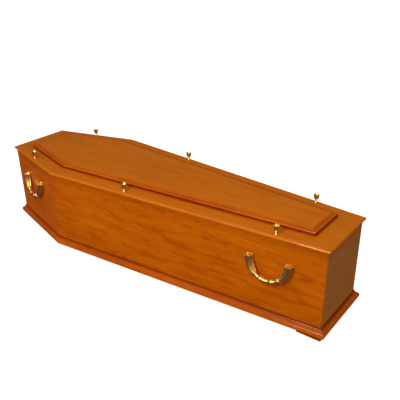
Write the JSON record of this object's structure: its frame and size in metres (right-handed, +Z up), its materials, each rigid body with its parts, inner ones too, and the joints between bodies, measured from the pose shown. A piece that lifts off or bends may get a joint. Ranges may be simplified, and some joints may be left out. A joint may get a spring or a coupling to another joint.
{
  "type": "coffin",
  "caption": "Six-sided wooden coffin with a raised and moulded lid panel, a plinth moulding, cast horn-ended handles and thumb screws.",
  "frame": {"origin": "on the ground under the middle of the box's length and width, in the plane of the bearers' undersides", "axes": "+X along the length towards the foot end, +Y across towards the far side, +Z up"},
  "size_m": [1.944, 0.6246, 0.4613],
  "materials": {
    "varnished_veneer": "gloss varnish over honey-stained veneer",
    "varnished_moulding": "gloss varnish over red-brown stained solid wood",
    "bare_board": "bare pale board",
    "gilt_metal": "polished gilt casting"
  },
  "bodies": {
    "root": {"base_board": "bare_board", "side_board_near": "varnished_veneer", "side_board_far": "varnished_veneer", "head_board": "varnished_veneer", "foot_board": "varnished_veneer", "bearer_head": "varnished_moulding", "bearer_foot": "varnished_moulding", "plinth_head": "varnished_moulding", "plinth_head_side_near": "varnished_moulding", "plinth_long_side_near": "varnished_moulding", "plinth_foot": "varnished_moulding", "plinth_long_side_far": "varnished_moulding", "plinth_head_side_far": "varnished_moulding", "lid_board": "varnished_veneer", "raised_panel": "varnished_veneer", "panel_moulding_head": "varnished_moulding", "panel_moulding_head_side_near": "varnished_moulding", "panel_moulding_long_side_near": "varnished_moulding", "panel_moulding_foot": "varnished_moulding", "panel_moulding_long_side_far": "varnished_moulding", "panel_moulding_head_side_far": "varnished_moulding", "lid_screw_near_head": "gilt_metal", "lid_screw_near_middle": "gilt_metal", "lid_screw_near_foot": "gilt_metal", "lid_screw_far_head": "gilt_metal", "lid_screw_far_middle": "gilt_metal", "lid_screw_far_foot": "gilt_metal", "handle_near_head": "gilt_metal", "handle_near_foot": "gilt_metal", "handle_far_foot": "gilt_metal", "handle_far_head": "gilt_metal"}
  },
  "joints": []
}
